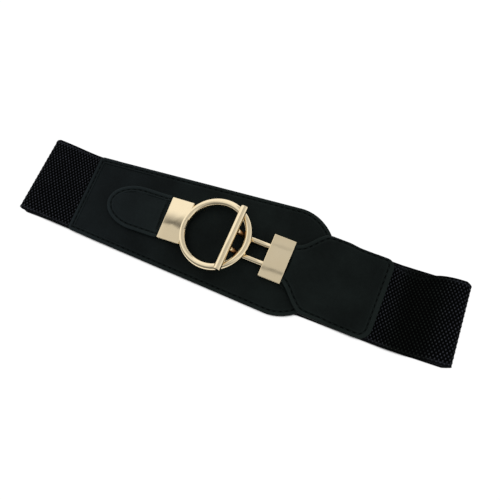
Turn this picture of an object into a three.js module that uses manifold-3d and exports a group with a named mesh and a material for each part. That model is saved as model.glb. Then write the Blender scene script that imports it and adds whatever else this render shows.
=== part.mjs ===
// A fastened elastic stretch belt, lying flattened on a surface with its buckle up.
// X runs along the belt, Y across it and Z up from the surface. Millimetres and degrees.
// Places along X are measured from the middle of the buckle's ring, and the finished group is then
// moved so that its origin lies under the middle of the whole belt.
import * as THREE from 'three';
import { mergeVertices } from 'three/addons/utils/BufferGeometryUtils.js';
import Module from 'manifold-3d';

const wasm = await Module();
wasm.setup();

// Lying pose: each half turns a little at the ring, and pieces keep a small gap
const halfTurn = 1.6;
const panelTurn = 1.15;
const clearance = 0.3;

// Elastic webbing, folded flat at both ends of the loop
const bandWidth = 60;
const bandThick = 1.6;
const leftReach = 152.6;
const rightReach = 182.8;
const leftFoldHeight = 8.4;
const rightFoldHeight = 9.8;
const leftFoldSlant = 3.6;
const rightFoldSlant = -3.5;
const foldPinch = 3;
const lap = 14;

// Base panel, the stiff leather piece behind the whole buckle
const panelThick = 3;
const panelReach = 110.6;
const panelEndWidth = 63.7;
const panelWideWidth = 83;
const panelStraight = 54;
const panelNose = 36;
const panelCorner = 3;
const leatherEdge = 0.6;

// Tab, the leather strip that holds the ring's clip
const tabThick = 2;
const tabReach = 89.6;
const tabWidth = 35.2;
const tabRound = 25.5;
const tabShift = 1.2;
const tabCrease = 5;

// Clips, ring and hook, all cast metal
const ringClipLength = 18;
const hookClipLength = 17;
const clipWidth = 33.4;
const clipWall = 1.2;
const clipBevel = 0.6;
const gripDepth = 12;
const ringClipMid = 31.6;
const hookClipMid = 49.1;
const ringRadius = 24.9;
const ringWire = 5.6;
const ringShift = 0;
const ringClipShift = 0.6;
const hookShift = 0;
const barPlace = 13.6;
const barLength = 50.4;
const barWire = 5.6;
const barChamfer = 0.5;
const rodWire = 4.2;
const rodSpacing = 14;

// Front panel, the leather piece on the hook's side
const frontThick = 3;
const frontReach = 128.2;
const frontWidth = 61.9;
const frontShift = 0.3;
const frontNeckWidth = 30;
const frontShoulder = 80;
const frontUpperCorner = 6.5;
const frontLowerCorner = 9;
const frontStepStart = 1.5;
const frontStepLength = 12;
const frontCrease = 6;

// Facets
const ringSides = 12;
const ringSteps = 48;
const barSides = 20;
const rodSides = 10;
const rodSteps = 18;

// Heights that follow from the stack of pieces
const frontLayer = bandThick + clearance;
const panelTop = frontLayer + panelThick;
const onPanel = panelTop + clearance;
const gripThick = tabThick;
const clipHeight = gripThick + 2 * clearance + 2 * clipWall;
const gripWidth = clipWidth - 2 * clipWall - 2 * clearance;
const rodHeight = onPanel + rodWire / 2;
const hookClipHeight = onPanel + clipHeight / 2;

// The ring's far side rides on the hook's rods, so the ring and its clip tip up by a few degrees
const ringRise = rodHeight + rodWire / 2 + clearance + ringWire / 2 - onPanel - clipHeight / 2;
const ringTilt = Math.asin(ringRise / (ringClipLength / 2 + ringClipMid + ringRadius));
const ringClipHeight = onPanel + clipHeight / 2 + (ringClipLength / 2) * Math.sin(ringTilt);

// Height of the ring's middle plane at a place along X
function ringPlane(place) {
  return ringClipHeight + (ringClipMid + place) * Math.tan(ringTilt);
}

// Small tools for the geometry
const radians = THREE.MathUtils.degToRad;
const lerp = THREE.MathUtils.lerp;
const smooth = (share) => THREE.MathUtils.smoothstep(share, 0, 1);

function shares(steps) {
  return Array.from({ length: steps + 1 }, (_, step) => step / steps);
}

// A column of a table, read between the rows at a share along it
function readRows(rows, column, along) {
  const next = rows.findIndex((row) => row.along >= along);
  if (next === 0) return rows[0][column];
  if (next < 0) return rows[rows.length - 1][column];
  const before = rows[next - 1];
  const after = rows[next];
  const share = (along - before.along) / (after.along - before.along);
  return lerp(before[column], after[column], share);
}

// One closed body through rings of points that all have the same count
function loft(rings) {
  const count = rings[0].length;
  const last = (rings.length - 1) * count;
  const index = [];
  for (let start = 0; start < last; start += count) {
    for (let k = 0; k < count; k += 1) {
      const near = start + k;
      const side = start + ((k + 1) % count);
      index.push(near, side, side + count, near, side + count, near + count);
    }
  }
  for (let k = 1; k + 1 < count; k += 1) {
    index.push(0, k + 1, k, last, last + k, last + k + 1);
  }
  const geometry = new THREE.BufferGeometry();
  const positions = rings.flat().flatMap((point) => [point.x, point.y, point.z]);
  geometry.setAttribute('position', new THREE.Float32BufferAttribute(positions, 3));
  geometry.setIndex(index);
  return geometry;
}

// The outline of a flat strip's cross-section, with its long edges chamfered
function stripOutline(low, high, bottom, top, edge) {
  return [
    [low + edge, bottom], [high - edge, bottom], [high, bottom + edge], [high, top - edge],
    [high - edge, top], [low + edge, top], [low, top - edge], [low, bottom + edge],
  ];
}

// A leather piece through stations along X, each with its edges and its faces
function leather(stations) {
  const rings = stations.map(({ x, low, high, bottom, top, edge = leatherEdge }) => (
    stripOutline(low, high, bottom, top, edge).map(([y, z]) => new THREE.Vector3(x, y, z))
  ));
  return loft(rings);
}

// How far an edge is drawn in at a distance from the end of a piece with a round corner
function cornerInset(distance, radius) {
  if (distance >= radius) return 0;
  return radius - Math.sqrt(radius * radius - (radius - distance) ** 2);
}

// Joins and cuts of closed meshes
function toSolid(geometry) {
  const bare = geometry.clone();
  bare.deleteAttribute('normal');
  bare.deleteAttribute('uv');
  const merged = mergeVertices(bare, 1e-4);
  return new wasm.Manifold(new wasm.Mesh({
    numProp: 3,
    vertProperties: Float32Array.from(merged.attributes.position.array),
    triVerts: Uint32Array.from(merged.index.array),
  }));
}

function toGeometry(solid) {
  const mesh = solid.getMesh();
  const geometry = new THREE.BufferGeometry();
  geometry.setAttribute('position', new THREE.Float32BufferAttribute(mesh.vertProperties, 3));
  geometry.setIndex(Array.from(mesh.triVerts));
  return geometry;
}

function joined(geometries) {
  return toGeometry(geometries.map(toSolid).reduce((sum, solid) => sum.add(solid)));
}

function cut(geometry, tool) {
  return toGeometry(toSolid(geometry).subtract(toSolid(tool)));
}

function boxBetween(low, high) {
  const size = high.map((value, axis) => value - low[axis]);
  const middle = high.map((value, axis) => (value + low[axis]) / 2);
  return new THREE.BoxGeometry(...size).translate(...middle);
}

// Elastic band. Rows give the stretch's middle line and width as shares of the band's width, from the
// panel's end, along 0, to the fold, along 1, and for the layer underneath from left to right.
const LEFT_STRETCH = [
  { along: 0, middle: 0.021, wide: 1.048 },
  { along: 1, middle: 0.0525, wide: 1.047 },
];
const RIGHT_STRETCH = [
  { along: 0, middle: -0.006, wide: 0.986 },
  { along: 0.22, middle: -0.0195, wide: 0.957 },
  { along: 0.36, middle: -0.0215, wide: 0.946 },
  { along: 0.5, middle: 0, wide: 0.984 },
  { along: 0.65, middle: 0.0275, wide: 1.014 },
  { along: 0.8, middle: 0.048, wide: 1.0175 },
  { along: 1, middle: 0.062, wide: 1.015 },
];
const UNDER_LAYER = [
  { along: 0, sag: 0 },
  { along: 0.2, sag: 0 },
  { along: 0.75, sag: -0.025 },
  { along: 0.87, sag: -0.03 },
  { along: 1, sag: 0 },
];
const stretchSteps = 9;
const foldSteps = 9;
const underSteps = 10;
const bandEdge = 0.45;

// A cross-section of the band: its middle, the turn of its half, its width, its slant and the slope
// that the band runs at there, counted as it runs round the loop
function bandRing({ x, y, z, turn, width, slant, slope }) {
  const forward = new THREE.Vector3(Math.cos(turn), Math.sin(turn), 0);
  const across = new THREE.Vector3(-Math.sin(turn), Math.cos(turn), 0);
  const inward = forward.clone().multiplyScalar(-Math.sin(slope)).setZ(Math.cos(slope));
  const middle = forward.clone().multiplyScalar(x).addScaledVector(across, y).setZ(z);
  const outline = stripOutline(-width / 2, width / 2, -bandThick / 2, bandThick / 2, bandEdge);
  return outline.map(([side, depth]) => (
    middle.clone().addScaledVector(across, side).addScaledVector(inward, depth)
      .addScaledVector(forward, (slant * side) / width)
  ));
}

// One half's front stretch and fold. The sign is -1 on the left and 1 on the right, and the sections
// run from the panel's end to the bottom of the fold.
function bandHalf({ sign, rows, reach, panelEnd, foldHeight, slant }) {
  const turn = radians(-sign * halfTurn);
  const foldRadius = (foldHeight - bandThick) / 2;
  const foldMiddle = reach - foldHeight / 2;
  const start = frontLayer + bandThick / 2;
  const top = foldHeight - bandThick / 2;
  const place = (along) => ({
    y: readRows(rows, 'middle', along) * bandWidth,
    width: readRows(rows, 'wide', along) * bandWidth,
    turn,
    slant: slant * Math.max(along, 0),
  });
  const flat = { ...place(0), z: start, slope: Math.PI };
  const sections = [{ ...flat, x: sign * (panelEnd - lap) }, { ...flat, x: sign * (panelEnd - lap / 2) }];
  for (const along of shares(stretchSteps)) {
    const x = lerp(panelEnd, foldMiddle, along);
    const rise = 6 * along * (1 - along) * (top - start) / (foldMiddle - panelEnd);
    const slope = Math.PI + sign * Math.atan(rise);
    sections.push({ ...place(along), x: sign * x, z: lerp(start, top, smooth(along)), slope });
  }
  for (const along of shares(foldSteps).slice(1)) {
    const slope = Math.PI - sign * Math.PI * along;
    const x = sign * (foldMiddle + foldRadius * Math.sin(Math.PI * along));
    const z = foldHeight / 2 + foldRadius * Math.cos(Math.PI * along);
    const pinched = place(1);
    pinched.width -= foldPinch * Math.sin(Math.PI * along);
    sections.push({ ...pinched, x, z, slope });
  }
  return sections;
}

function elasticBand() {
  const left = bandHalf({
    sign: -1,
    rows: LEFT_STRETCH,
    reach: leftReach,
    panelEnd: panelReach,
    foldHeight: leftFoldHeight,
    slant: leftFoldSlant,
  });
  const right = bandHalf({
    sign: 1,
    rows: RIGHT_STRETCH,
    reach: rightReach,
    panelEnd: frontReach,
    foldHeight: rightFoldHeight,
    slant: rightFoldSlant,
  });
  // The layer underneath runs level from one fold to the other, in the ring's own direction
  const from = left[left.length - 1];
  const to = right[right.length - 1];
  const fromY = from.y * Math.cos(from.turn) + from.x * Math.sin(from.turn);
  const toY = to.y * Math.cos(to.turn) + to.x * Math.sin(to.turn);
  const under = shares(underSteps).slice(1, -1).map((along) => {
    const turn = lerp(from.turn, to.turn, along);
    const x = lerp(from.x, to.x, along);
    const sag = readRows(UNDER_LAYER, 'sag', along) * bandWidth;
    const y = lerp(fromY, toY, along) + sag - x * Math.sin(turn);
    const width = lerp(from.width, to.width, along);
    const slant = lerp(from.slant, to.slant, along);
    return { x, y, z: bandThick / 2, turn, width, slant, slope: 0 };
  });
  return loft([...left, ...under, ...right.reverse()].map(bandRing));
}

// The slot under a panel's end that the elastic's end lies in
function lapSlot(sign, end) {
  const inner = sign * (end - lap - clearance);
  const outer = sign * (end + lap);
  const half = panelWideWidth / 2;
  const ceiling = frontLayer + bandThick + clearance;
  return boxBetween([Math.min(inner, outer), -half, 0], [Math.max(inner, outer), half, ceiling]);
}

// Base panel: straight sides that spread from the elastic to the shoulder, then a round end
const cornerSteps = 4;
const sideSteps = 5;
const noseSteps = 12;
const noseAngle = 84;

function basePanel() {
  const faces = { bottom: frontLayer, top: panelTop };
  const half = (x) => lerp(panelEndWidth, panelWideWidth, (x + panelReach) / (panelReach + panelStraight)) / 2;
  const straight = (distance) => {
    const x = -panelReach + distance;
    const width = half(x) - cornerInset(distance - leatherEdge, panelCorner);
    return { x, low: -width, high: width, ...faces };
  };
  const end = straight(leatherEdge);
  const tip = {
    x: -panelReach,
    low: end.low + leatherEdge,
    high: end.high - leatherEdge,
    bottom: faces.bottom + leatherEdge,
    top: faces.top - leatherEdge,
    edge: 0.1 * leatherEdge,
  };
  const corner = shares(cornerSteps).map((along) => straight(leatherEdge + panelCorner * along ** 2));
  const sides = shares(sideSteps).slice(1).map((along) => (
    straight(lerp(leatherEdge + panelCorner, panelReach + panelStraight, along))
  ));
  const nose = shares(noseSteps).slice(1).map((along) => {
    const angle = radians(noseAngle * along);
    const width = (panelWideWidth / 2) * Math.cos(angle);
    return { x: panelStraight + panelNose * Math.sin(angle), low: -width, high: width, ...faces };
  });
  return cut(leather([tip, ...corner, ...sides, ...nose]), lapSlot(-1, panelReach));
}

// Tab: a flat strip with a round end that creases up into the ring clip's slot
const tabNoseSteps = 10;

function tab() {
  const halfWidth = tabWidth / 2;
  const clipStart = -ringClipMid - (ringClipLength / 2) * Math.cos(ringTilt);
  const flat = { bottom: onPanel, top: onPanel + tabThick };
  const inSlot = (inside) => {
    const middle = ringPlane(clipStart + inside);
    return { bottom: middle - tabThick / 2, top: middle + tabThick / 2 };
  };
  const wide = { low: tabShift - halfWidth, high: tabShift + halfWidth };
  const narrow = { low: ringClipShift - gripWidth / 2, high: ringClipShift + gripWidth / 2 };
  const nose = shares(tabNoseSteps).map((along) => {
    const angle = radians(noseAngle * (1 - along));
    const width = halfWidth * Math.cos(angle);
    const x = -tabReach + tabRound * (1 - Math.sin(angle));
    return { x, low: tabShift - width, high: tabShift + width, ...flat };
  });
  const mouth = clipStart - clearance;
  const notch = (tabWidth - gripWidth) / 4;
  return leather([
    ...nose,
    { x: mouth - notch - tabCrease, ...wide, ...flat },
    { x: mouth - notch, ...wide, ...inSlot(-notch) },
    { x: mouth, ...narrow, ...inSlot(-clearance) },
    { x: clipStart + gripDepth, ...narrow, ...inSlot(gripDepth) },
  ]);
}

// A clip: a chamfered box around the leather's end, with a slot that opens towards -X
function clip(clipLength) {
  const length = clipLength - 2 * clipBevel;
  const width = clipWidth - 2 * clipBevel;
  const face = new THREE.Shape([
    new THREE.Vector2(-length / 2, -width / 2),
    new THREE.Vector2(length / 2, -width / 2),
    new THREE.Vector2(length / 2, width / 2),
    new THREE.Vector2(-length / 2, width / 2),
  ]);
  const body = new THREE.ExtrudeGeometry(face, {
    depth: clipHeight - 2 * clipBevel,
    bevelThickness: clipBevel,
    bevelSize: clipBevel,
    bevelSegments: 1,
  });
  body.translate(0, 0, clipBevel - clipHeight / 2);
  const slotEnd = -clipLength / 2 + gripDepth + clearance;
  const slotWidth = gripWidth / 2 + clearance;
  const slotHeight = gripThick / 2 + clearance;
  const slot = boxBetween([-clipLength, -slotWidth, -slotHeight], [slotEnd, slotWidth, slotHeight]);
  return cut(body, slot);
}

// Ring clip: the left clip with the whole ring cast on its right wall, level with its middle
function ringClip() {
  const ring = new THREE.TorusGeometry(ringRadius, ringWire / 2, ringSides, ringSteps);
  ring.translate(ringClipMid / Math.cos(ringTilt), ringShift - ringClipShift, 0);
  return joined([clip(ringClipLength), ring]);
}

// Hook clip: the right clip with two rods that run under the ring's right side, come up inside the
// ring and carry the bar that lies across it
function hookClip() {
  const box = clip(hookClipLength).rotateZ(Math.PI).translate(hookClipMid, 0, hookClipHeight);
  const barHeight = ringPlane(barPlace) + (ringWire / 2 + clearance + barWire / 2) / Math.cos(ringTilt);
  const half = barLength / 2;
  const radius = barWire / 2;
  const profile = [
    [0, -half], [radius - barChamfer, -half], [radius, -half + barChamfer],
    [radius, half - barChamfer], [radius - barChamfer, half], [0, half],
  ].map(([side, along]) => new THREE.Vector2(side, along));
  const bar = new THREE.LatheGeometry(profile, barSides).translate(barPlace, 0, barHeight);
  return joined([box, bar, rod(-1, barHeight), rod(1, barHeight)]);
}

function rod(side, barHeight) {
  const y = (side * rodSpacing) / 2;
  const wrap = ringWire / 2 + rodWire / 2 + 2 * clearance;
  const ringSide = Math.sqrt(ringRadius ** 2 - y ** 2);
  const under = { x: ringSide, z: ringPlane(ringSide) };
  const bend = [270, 245, 220, 195].map((angle) => new THREE.Vector3(
    under.x + wrap * Math.cos(radians(angle)),
    y,
    Math.max(under.z + wrap * Math.sin(radians(angle)), rodHeight),
  ));
  const inClip = hookClipMid - hookClipLength / 2 + clipWall;
  const route = new THREE.CatmullRomCurve3([
    new THREE.Vector3(inClip, y, hookClipHeight),
    new THREE.Vector3(lerp(inClip, ringSide, 1 / 3), y, rodHeight),
    new THREE.Vector3(lerp(inClip, ringSide, 2 / 3), y, rodHeight),
    ...bend,
    new THREE.Vector3(barPlace, y, barHeight),
  ]);
  const section = new THREE.Shape();
  section.absarc(0, 0, rodWire / 2, 0, 2 * Math.PI, true);
  return new THREE.ExtrudeGeometry(section, {
    extrudePath: route,
    steps: rodSteps,
    curveSegments: rodSides / 2,
    bevelEnabled: false,
  });
}

// Front panel: a neck in the hook clip's slot, shoulders, and a straight body that lies on the base
// panel's end and then steps down to the elastic. Shoulder rows are shares of the neck's spread.
const SHOULDER = [
  { along: 0, upper: 0, lower: 0 },
  { along: 0.2, upper: 0.15, lower: 0.23 },
  { along: 0.4, upper: 0.43, lower: 0.51 },
  { along: 0.6, upper: 0.74, lower: 0.77 },
  { along: 0.8, upper: 0.95, lower: 0.95 },
  { along: 1, upper: 1, lower: 1 },
];
const shoulderSteps = 10;
const bodySteps = 4;
const stepSteps = 6;
const frontCornerSteps = 7;

function frontPanel() {
  const clipEnd = hookClipMid + hookClipLength / 2;
  const mouth = clipEnd + clearance;
  const stepStart = panelStraight + panelNose + frontStepStart;
  const corner = Math.max(frontUpperCorner, frontLowerCorner);
  const shoulderStart = mouth + leatherEdge;
  const neck = { bottom: hookClipHeight - gripThick / 2, top: hookClipHeight + gripThick / 2 };
  const faces = (x) => {
    const settle = smooth((x - mouth) / frontCrease);
    const step = smooth((x - stepStart) / frontStepLength);
    const bottom = lerp(lerp(neck.bottom, onPanel, settle), frontLayer, step);
    return { bottom, top: bottom + lerp(gripThick, frontThick, settle) };
  };
  const shoulder = shares(shoulderSteps).map((along) => {
    const x = lerp(shoulderStart, frontShoulder, along);
    const edge = (side) => lerp(frontNeckWidth, frontWidth, readRows(SHOULDER, side, along)) / 2;
    return { x, low: frontShift - edge('lower'), high: frontShift + edge('upper'), ...faces(x) };
  });
  const plain = (x) => {
    const distance = frontReach - leatherEdge - x;
    const low = frontShift - frontWidth / 2 + cornerInset(distance, frontLowerCorner);
    const high = frontShift + frontWidth / 2 - cornerInset(distance, frontUpperCorner);
    return { x, low, high, ...faces(x) };
  };
  const body = shares(bodySteps).slice(1).map((along) => plain(lerp(frontShoulder, stepStart, along)));
  const step = shares(stepSteps).slice(1).map((along) => plain(stepStart + frontStepLength * along));
  const round = shares(frontCornerSteps).map((along) => (
    plain(frontReach - leatherEdge - corner * (1 - along) ** 2)
  ));
  const end = round[round.length - 1];
  const tip = {
    x: frontReach,
    low: end.low + leatherEdge,
    high: end.high - leatherEdge,
    bottom: end.bottom + leatherEdge,
    top: end.top - leatherEdge,
    edge: 0.1 * leatherEdge,
  };
  const half = gripWidth / 2;
  const panel = leather([
    { x: clipEnd - gripDepth, low: -half, high: half, ...neck },
    { x: mouth, low: -half, high: half, ...neck },
    ...shoulder,
    ...body,
    ...step,
    ...round,
    tip,
  ]);
  return cut(panel, lapSlot(1, frontReach));
}

// Materials
const blackLeather = { color: 0x181e20, roughness: 0.55, metalness: 0 };
const blackElastic = { color: 0x0b0c12, roughness: 0.85, metalness: 0 };
const paleGold = { color: 0xd8c08c, roughness: 0.2, metalness: 1 };

function piece(name, geometry, finish) {
  const mesh = new THREE.Mesh(geometry, new THREE.MeshStandardMaterial(finish));
  mesh.name = name;
  return mesh;
}

// Assembly: the base panel, the left half with the ring and the right half with the hook
const basePart = new THREE.Group();
basePart.rotation.z = radians(panelTurn);
basePart.add(piece('base_panel', basePanel(), blackLeather));

const ringClipPiece = piece('ring_clip', ringClip(), paleGold);
ringClipPiece.position.set(-ringClipMid, ringClipShift, ringClipHeight);
ringClipPiece.rotation.y = -ringTilt;

const leftHalf = new THREE.Group();
leftHalf.rotation.z = radians(halfTurn);
leftHalf.add(piece('tab', tab(), blackLeather), ringClipPiece);

const rightHalf = new THREE.Group();
rightHalf.rotation.z = radians(-halfTurn);
rightHalf.position.y = hookShift;
rightHalf.add(piece('hook_clip', hookClip(), paleGold));
rightHalf.add(piece('front_panel', frontPanel(), blackLeather));

const belt = new THREE.Group();
belt.add(piece('elastic_band', elasticBand(), blackElastic), basePart, leftHalf, rightHalf);

belt.updateMatrixWorld(true);
const middle = new THREE.Box3().setFromObject(belt, true).getCenter(new THREE.Vector3());
belt.position.set(-middle.x, -middle.y, 0);
belt.updateMatrixWorld(true);

export default belt;
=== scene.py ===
import math

import bmesh
import bpy
import numpy as np
from mathutils import Matrix, Vector


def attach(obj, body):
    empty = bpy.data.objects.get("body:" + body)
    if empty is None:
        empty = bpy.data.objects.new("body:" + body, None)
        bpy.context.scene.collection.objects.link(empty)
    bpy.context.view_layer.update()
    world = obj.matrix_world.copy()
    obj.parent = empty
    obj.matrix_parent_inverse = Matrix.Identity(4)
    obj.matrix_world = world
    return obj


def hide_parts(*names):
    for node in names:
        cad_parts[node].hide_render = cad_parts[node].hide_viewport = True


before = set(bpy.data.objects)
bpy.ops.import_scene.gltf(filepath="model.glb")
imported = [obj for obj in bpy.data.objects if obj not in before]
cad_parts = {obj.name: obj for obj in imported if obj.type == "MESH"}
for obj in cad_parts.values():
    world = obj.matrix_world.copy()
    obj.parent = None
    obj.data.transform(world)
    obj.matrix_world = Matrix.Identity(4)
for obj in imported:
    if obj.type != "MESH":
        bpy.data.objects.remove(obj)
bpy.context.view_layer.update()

# Elastic band: 60 mm webbing woven from black yarn over rubber threads. One length runs round the
# wearer, lies folded flat at both ends of the loop, and its ends are sewn in under the leather.
# Lengths are in mm, and places along X are counted from the middle of the buckle's ring.
MM = 0.001
ring_middle = (-15.085, -1.084)
half_turn = 1.6
band_width = 60
band_thick = 1.6
left_reach = 152.6
right_reach = 182.8
left_fold_height = 8.4
right_fold_height = 9.8
left_fold_slant = 3.6
right_fold_slant = -3.5
fold_pinch = 3
lap = 14
panel_reach = 110.6
front_reach = 128.2
front_layer = 1.9
band_edge = 0.45
row_length = 0.65
field_columns = 60
selvedge = 1.4
weave_depth = 0.24
shade_middle_x = 137
lap_steps = 8
stretch_steps = 40
under_steps = 60

# Rows: share of the way to the fold, the stretch's middle line and its width in band widths
left_stretch = np.array([(0, 0.021, 1.048), (1, 0.0525, 1.047)])
right_stretch = np.array([
    (0, -0.006, 0.986), (0.22, -0.0195, 0.957), (0.36, -0.0215, 0.946), (0.5, 0, 0.984),
    (0.65, 0.0275, 1.014), (0.8, 0.048, 1.0175), (1, 0.062, 1.015),
])
under_sag = np.array([(0, 0), (0.2, 0), (0.75, -0.025), (0.87, -0.03), (1, 0)])


def lerp(low, high, share):
    return low + (high - low) * share


def ease(share):
    share = np.clip(share, 0, 1)
    return share * share * (3 - 2 * share)


def read_rows(rows, column, along):
    """A table's column at a share along it, on a smooth line through its rows."""
    knots, values = rows[:, 0], rows[:, column]
    slopes = np.gradient(values, knots)
    k = np.clip(np.searchsorted(knots, along) - 1, 0, len(knots) - 2)
    gap = knots[k + 1] - knots[k]
    t = np.clip((along - knots[k]) / gap, 0, 1)
    rise = values[k + 1] - values[k]
    bend = (1 - t) * (gap * slopes[k] - rise) - t * (gap * slopes[k + 1] - rise)
    return values[k] + t * rise + t * (1 - t) * bend


def band_half(sign, rows, reach, panel_end, fold_height, slant):
    """Stations of x, y, z, turn, width, slant and slope, from a panel's end to the fold's bottom."""
    turn = math.radians(-sign * half_turn)
    radius = (fold_height - band_thick) / 2
    fold_x = reach - fold_height / 2
    start, top = front_layer + band_thick / 2, fold_height - band_thick / 2
    stations = []

    def station(x, z, along, slope, pinch=0.0):
        y = float(read_rows(rows, 1, along)) * band_width
        width = float(read_rows(rows, 2, along)) * band_width - pinch
        stations.append((sign * x, y, z, turn, width, slant * along, slope))

    for x in np.linspace(panel_end - lap, panel_end, lap_steps)[:-1]:
        station(x, start, 0, math.pi)
    for along in np.linspace(0, 1, stretch_steps + 1):
        x = lerp(panel_end, fold_x, along)
        rise = 6 * along * (1 - along) * (top - start) / (fold_x - panel_end)
        station(x, lerp(start, top, ease(along)), along, math.pi + sign * math.atan(rise))
    for along in np.linspace(0, 1, stretch_steps + 1)[1:]:
        angle = math.pi * along
        x = fold_x + radius * math.sin(angle)
        z = fold_height / 2 + radius * math.cos(angle)
        station(x, z, 1, math.pi - sign * angle, fold_pinch * math.sin(angle))
    return stations


def band_stations():
    left = band_half(-1, left_stretch, left_reach, panel_reach, left_fold_height, left_fold_slant)
    right = band_half(1, right_stretch, right_reach, front_reach, right_fold_height, right_fold_slant)
    first, last = np.array(left[-1]), np.array(right[-1])
    first_y, last_y = (s[1] * math.cos(s[3]) + s[0] * math.sin(s[3]) for s in (first, last))
    under = []
    for along in np.linspace(0, 1, under_steps + 1)[1:-1]:
        s = lerp(first, last, along)
        sag = np.interp(along, under_sag[:, 0], under_sag[:, 1]) * band_width
        s[1] = lerp(first_y, last_y, along) + sag - s[0] * math.sin(s[3])
        s[2], s[6] = band_thick / 2, 0
        under.append(tuple(s))
    # The left fold's bottom is half a turn further round than the level layer, so it comes back first
    whole = [s[:6] + (s[6] - 2 * math.pi if s[6] > 1.5 * math.pi else s[6],) for s in left[-1:]]
    return np.array(left[:-1]), np.array(whole + under + right[::-1])


def frames(stations):
    """Each station's middle, its directions across and inwards, and its shear, as columns."""
    x, y, z, turn, width, slant, slope = stations.T
    forward = np.stack([np.cos(turn), np.sin(turn), 0 * turn], 1)
    across = np.stack([-np.sin(turn), np.cos(turn), 0 * turn], 1)
    inward = forward * -np.sin(slope)[:, None]
    inward[:, 2] = np.cos(slope)
    middle = forward * x[:, None] + across * y[:, None]
    middle[:, 2] = z
    lean = forward * (slant / width)[:, None]
    return np.concatenate([middle, across, inward, lean, width[:, None]], 1)


def even_steps(columns, step):
    """Stations respaced evenly along the middle line, a whole number of weave repeats in all."""
    gaps = np.linalg.norm(np.diff(columns[:, :3], axis=0), axis=1)
    along = np.concatenate([[0], np.cumsum(gaps)])
    count = 4 * round(along[-1] / step / 4)
    places = np.linspace(0, along[-1], count + 1)
    even = np.stack([np.interp(places, along, column) for column in columns.T], 1)
    for first in (3, 6):
        even[:, first:first + 3] /= np.linalg.norm(even[:, first:first + 3], axis=1)[:, None]
    return even, places


def mesh_object(name, points, faces):
    """A mesh from points in mm, with its faces turned outwards."""
    mesh = bpy.data.meshes.new(name)
    mesh.from_pydata((np.asarray(points) * MM).tolist(), [], [list(map(int, f)) for f in faces])
    work = bmesh.new()
    work.from_mesh(mesh)
    bmesh.ops.recalc_face_normals(work, faces=work.faces)
    work.to_mesh(mesh)
    work.free()
    mesh.shade_smooth()
    made = bpy.data.objects.new(name, mesh)
    bpy.context.collection.objects.link(made)
    return made


def skin(rings, around, closed=False):
    """Faces between rings of points that all have the same count, back to the first ring if closed."""
    faces = []
    for r in range(rings if closed else rings - 1):
        near, far = r * around, (r + 1) % rings * around
        for k in range(around):
            beside = (k + 1) % around
            faces.append((near + k, near + beside, far + beside, far + k))
    return faces


def caps(rings, around):
    """The two end faces of a row of rings."""
    return [list(range(around)), list(range((rings - 1) * around, rings * around))]


def placed(points, turn):
    """Points in mm, counted from the ring's middle in a piece turned by some degrees, in the belt."""
    t = math.radians(turn)
    points = np.asarray(points, float)
    x = points[:, 0] * math.cos(t) - points[:, 1] * math.sin(t) + ring_middle[0]
    y = points[:, 0] * math.sin(t) + points[:, 1] * math.cos(t) + ring_middle[1]
    return np.stack([x, y, points[:, 2]], 1)


def band_mesh():
    before, after = band_stations()
    stations, along = even_steps(np.concatenate([frames(before), frames(after)]), row_length)
    half, deep = 0.5, band_thick / 2
    field = np.linspace(-1, 1, field_columns + 1)
    rows = []
    lay = []
    for s, place in zip(stations, along):
        middle, across, inward, lean, width = s[:3], s[3:6], s[6:9], s[9:12], s[12]
        edge, border = width * half, width * half - selvedge
        outer = [(v * border, -deep, 1) for v in field]
        right = [(border + selvedge * 0.5, -deep * 0.96, 0), (edge - band_edge * 0.5, -deep * 0.9, 0),
                 (edge, -deep + band_edge, 0), (edge, deep - band_edge, 0), (edge - band_edge, deep, 0)]
        inner = [(v * border, deep, 0) for v in np.linspace(0.9, -0.9, 9)]
        left = [(-side, depth, 0) for side, depth, _ in right[::-1]]
        outline = outer + right + inner + left
        for side, depth, on in outline:
            rows.append(middle + across * side + inward * depth + lean * side)
            lay.append((place * MM, side / width * band_width * MM, on))
    count = len(outline)
    faces = skin(len(stations), count) + caps(len(stations), count)
    made = mesh_object("elastic_webbing", placed(rows, 0), faces)
    attribute = made.data.attributes.new("lay", "FLOAT_VECTOR", "POINT")
    attribute.data.foreach_set("vector", np.array(lay, np.float32).ravel())
    return made, along[-1], 4 * along[1], 4 * 2 * (band_width / 2 - selvedge) / field_columns


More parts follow.
